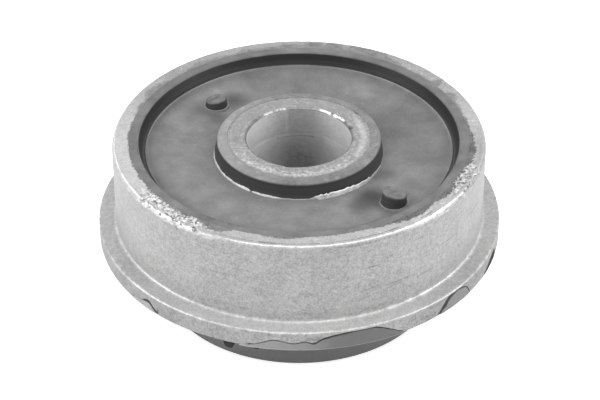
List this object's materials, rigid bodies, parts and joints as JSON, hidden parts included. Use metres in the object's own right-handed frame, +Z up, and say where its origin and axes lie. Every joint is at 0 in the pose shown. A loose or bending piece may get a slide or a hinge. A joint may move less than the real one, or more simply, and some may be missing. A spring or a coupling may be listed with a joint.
{
  "type": "rubber metal bush",
  "caption": "Bonded bush: a flanged metal outer sleeve and a thick inner tube joined by moulded rubber, for a bolt through the bore.",
  "frame": {"origin": "centre of the plane the bush stands on, on the axis of the bore", "axes": "+Z up the bore, towards the rim; +X points to the right, between the two pegs"},
  "size_m": [0.0634, 0.0634, 0.0276],
  "materials": {
    "outer_metal": "matte blasted aluminium, scuffed at the rim",
    "inner_metal": "sawn end face, dull bore",
    "rubber": "moulded grey rubber with thin flash"
  },
  "bodies": {
    "root": {"outer_sleeve": "outer_metal", "inner_sleeve": "inner_metal", "rubber_body": "rubber"}
  },
  "joints": []
}
